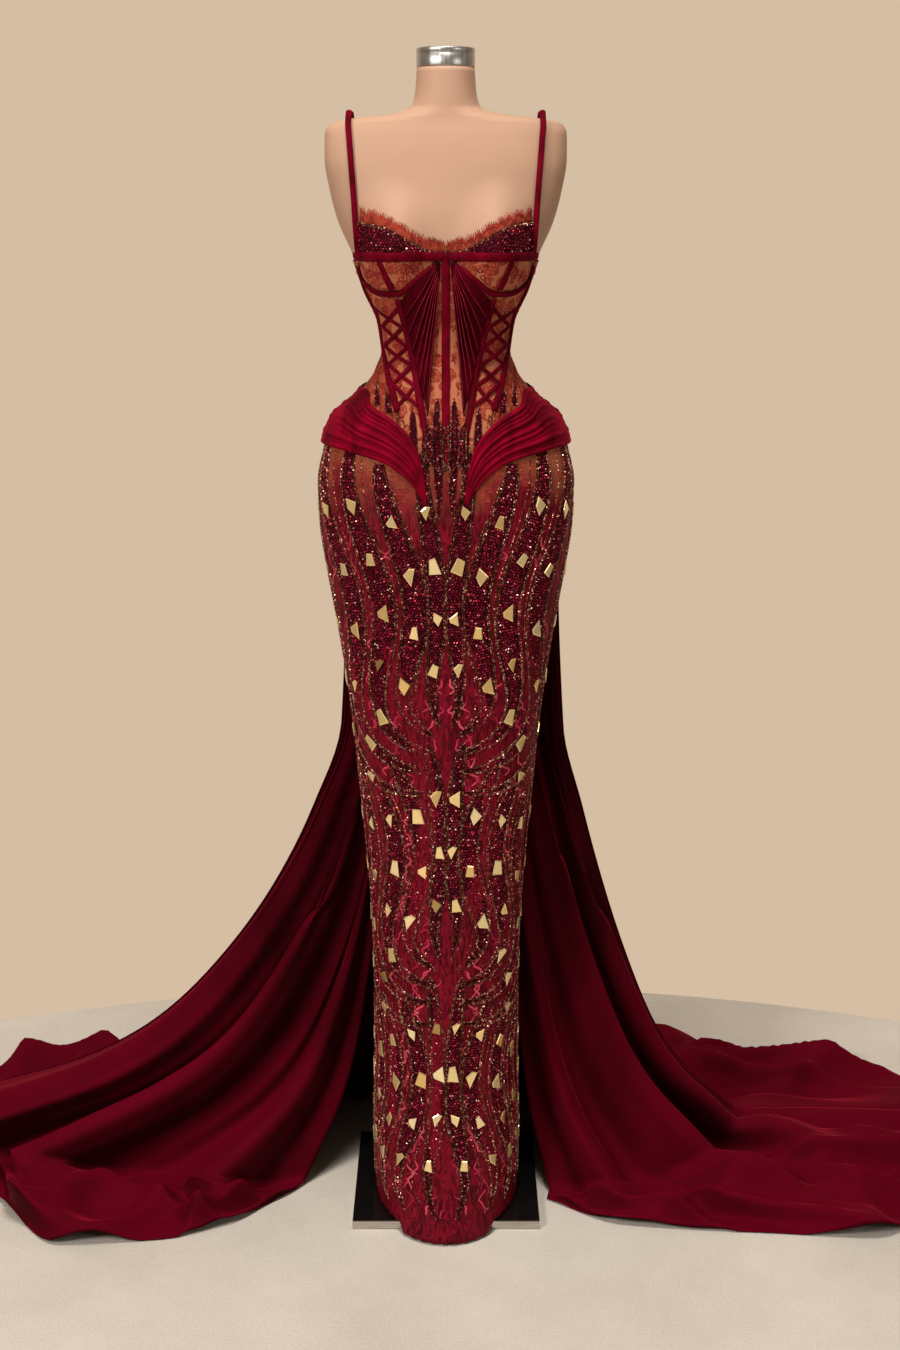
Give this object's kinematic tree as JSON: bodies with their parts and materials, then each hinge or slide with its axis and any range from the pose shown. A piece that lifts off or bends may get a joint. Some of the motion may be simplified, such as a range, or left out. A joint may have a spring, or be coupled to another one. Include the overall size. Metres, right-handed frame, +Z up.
{
  "type": "evening dress on dress form",
  "caption": "Sleeveless evening dress with a boned lace bodice, draped hips, a narrow beaded skirt and a long velvet train on the floor, on a limbless dress form with a pole and base",
  "frame": {"origin": "centre of the base plate's underside, on the floor", "axes": "+Z up, the gown's front faces -Y, +X is to the right of someone facing the front; the train runs out along X and towards +Y"},
  "size_m": [1.9387, 0.7759, 1.75],
  "materials": {
    "lace": "rust-coloured corded lace over nude net",
    "velvet": "wine-red silk velvet, cut pile",
    "beaded_lace": "crimson lace over a crimson lining, set with wine-red beads",
    "train_velvet": "dark wine velvet with a soft fall",
    "form_skin": "smooth satin skin tone",
    "chrome": "polished chrome",
    "plate_black": "high gloss black with a bare steel edge",
    "beads": "dark wine faceted glass beads",
    "copper_beads": "copper-lined glass beads",
    "gold_mirror": "faceted gold mirror tiles",
    "nude_tulle": "fine nude net"
  },
  "bodies": {
    "root": {"base_plate": "plate_black", "pole": "chrome", "form_torso": "form_skin", "neck_cap": "chrome", "busk": "velvet", "skirt_front": "beaded_lace", "skirt_back": "beaded_lace", "train_left": "train_velvet", "train_back_left": "train_velvet", "train_back_right": "train_velvet", "train_right": "train_velvet", "lace_front_left": "lace", "lace_front_right": "lace", "lace_side_front_left": "lace", "lace_side_front_right": "lace", "lace_side_left": "lace", "lace_side_right": "lace", "lace_back_left": "lace", "lace_back_right": "lace", "cup_lower_left": "lace", "cup_lower_right": "lace", "cup_upper_left": "beaded_lace", "cup_upper_right": "beaded_lace", "lace_edging_left": "lace", "lace_edging_right": "lace", "top_band_left": "velvet", "top_band_right": "velvet", "underwire_left": "velvet", "underwire_right": "velvet", "cup_strip_left": "velvet", "cup_strip_right": "velvet", "princess_band_left": "velvet", "princess_band_right": "velvet", "side_band_left": "velvet", "side_band_right": "velvet", "pleat_fan_left": "velvet", "pleat_fan_right": "velvet", "lacing_under_left": "velvet", "lacing_under_right": "velvet", "lacing_over_left": "velvet", "lacing_over_right": "velvet", "strap_left": "velvet", "strap_right": "velvet", "hip_drape_front_left": "velvet", "hip_drape_front_right": "velvet", "hip_drape_back_left": "velvet", "hip_drape_back_right": "velvet"}
  },
  "joints": []
}
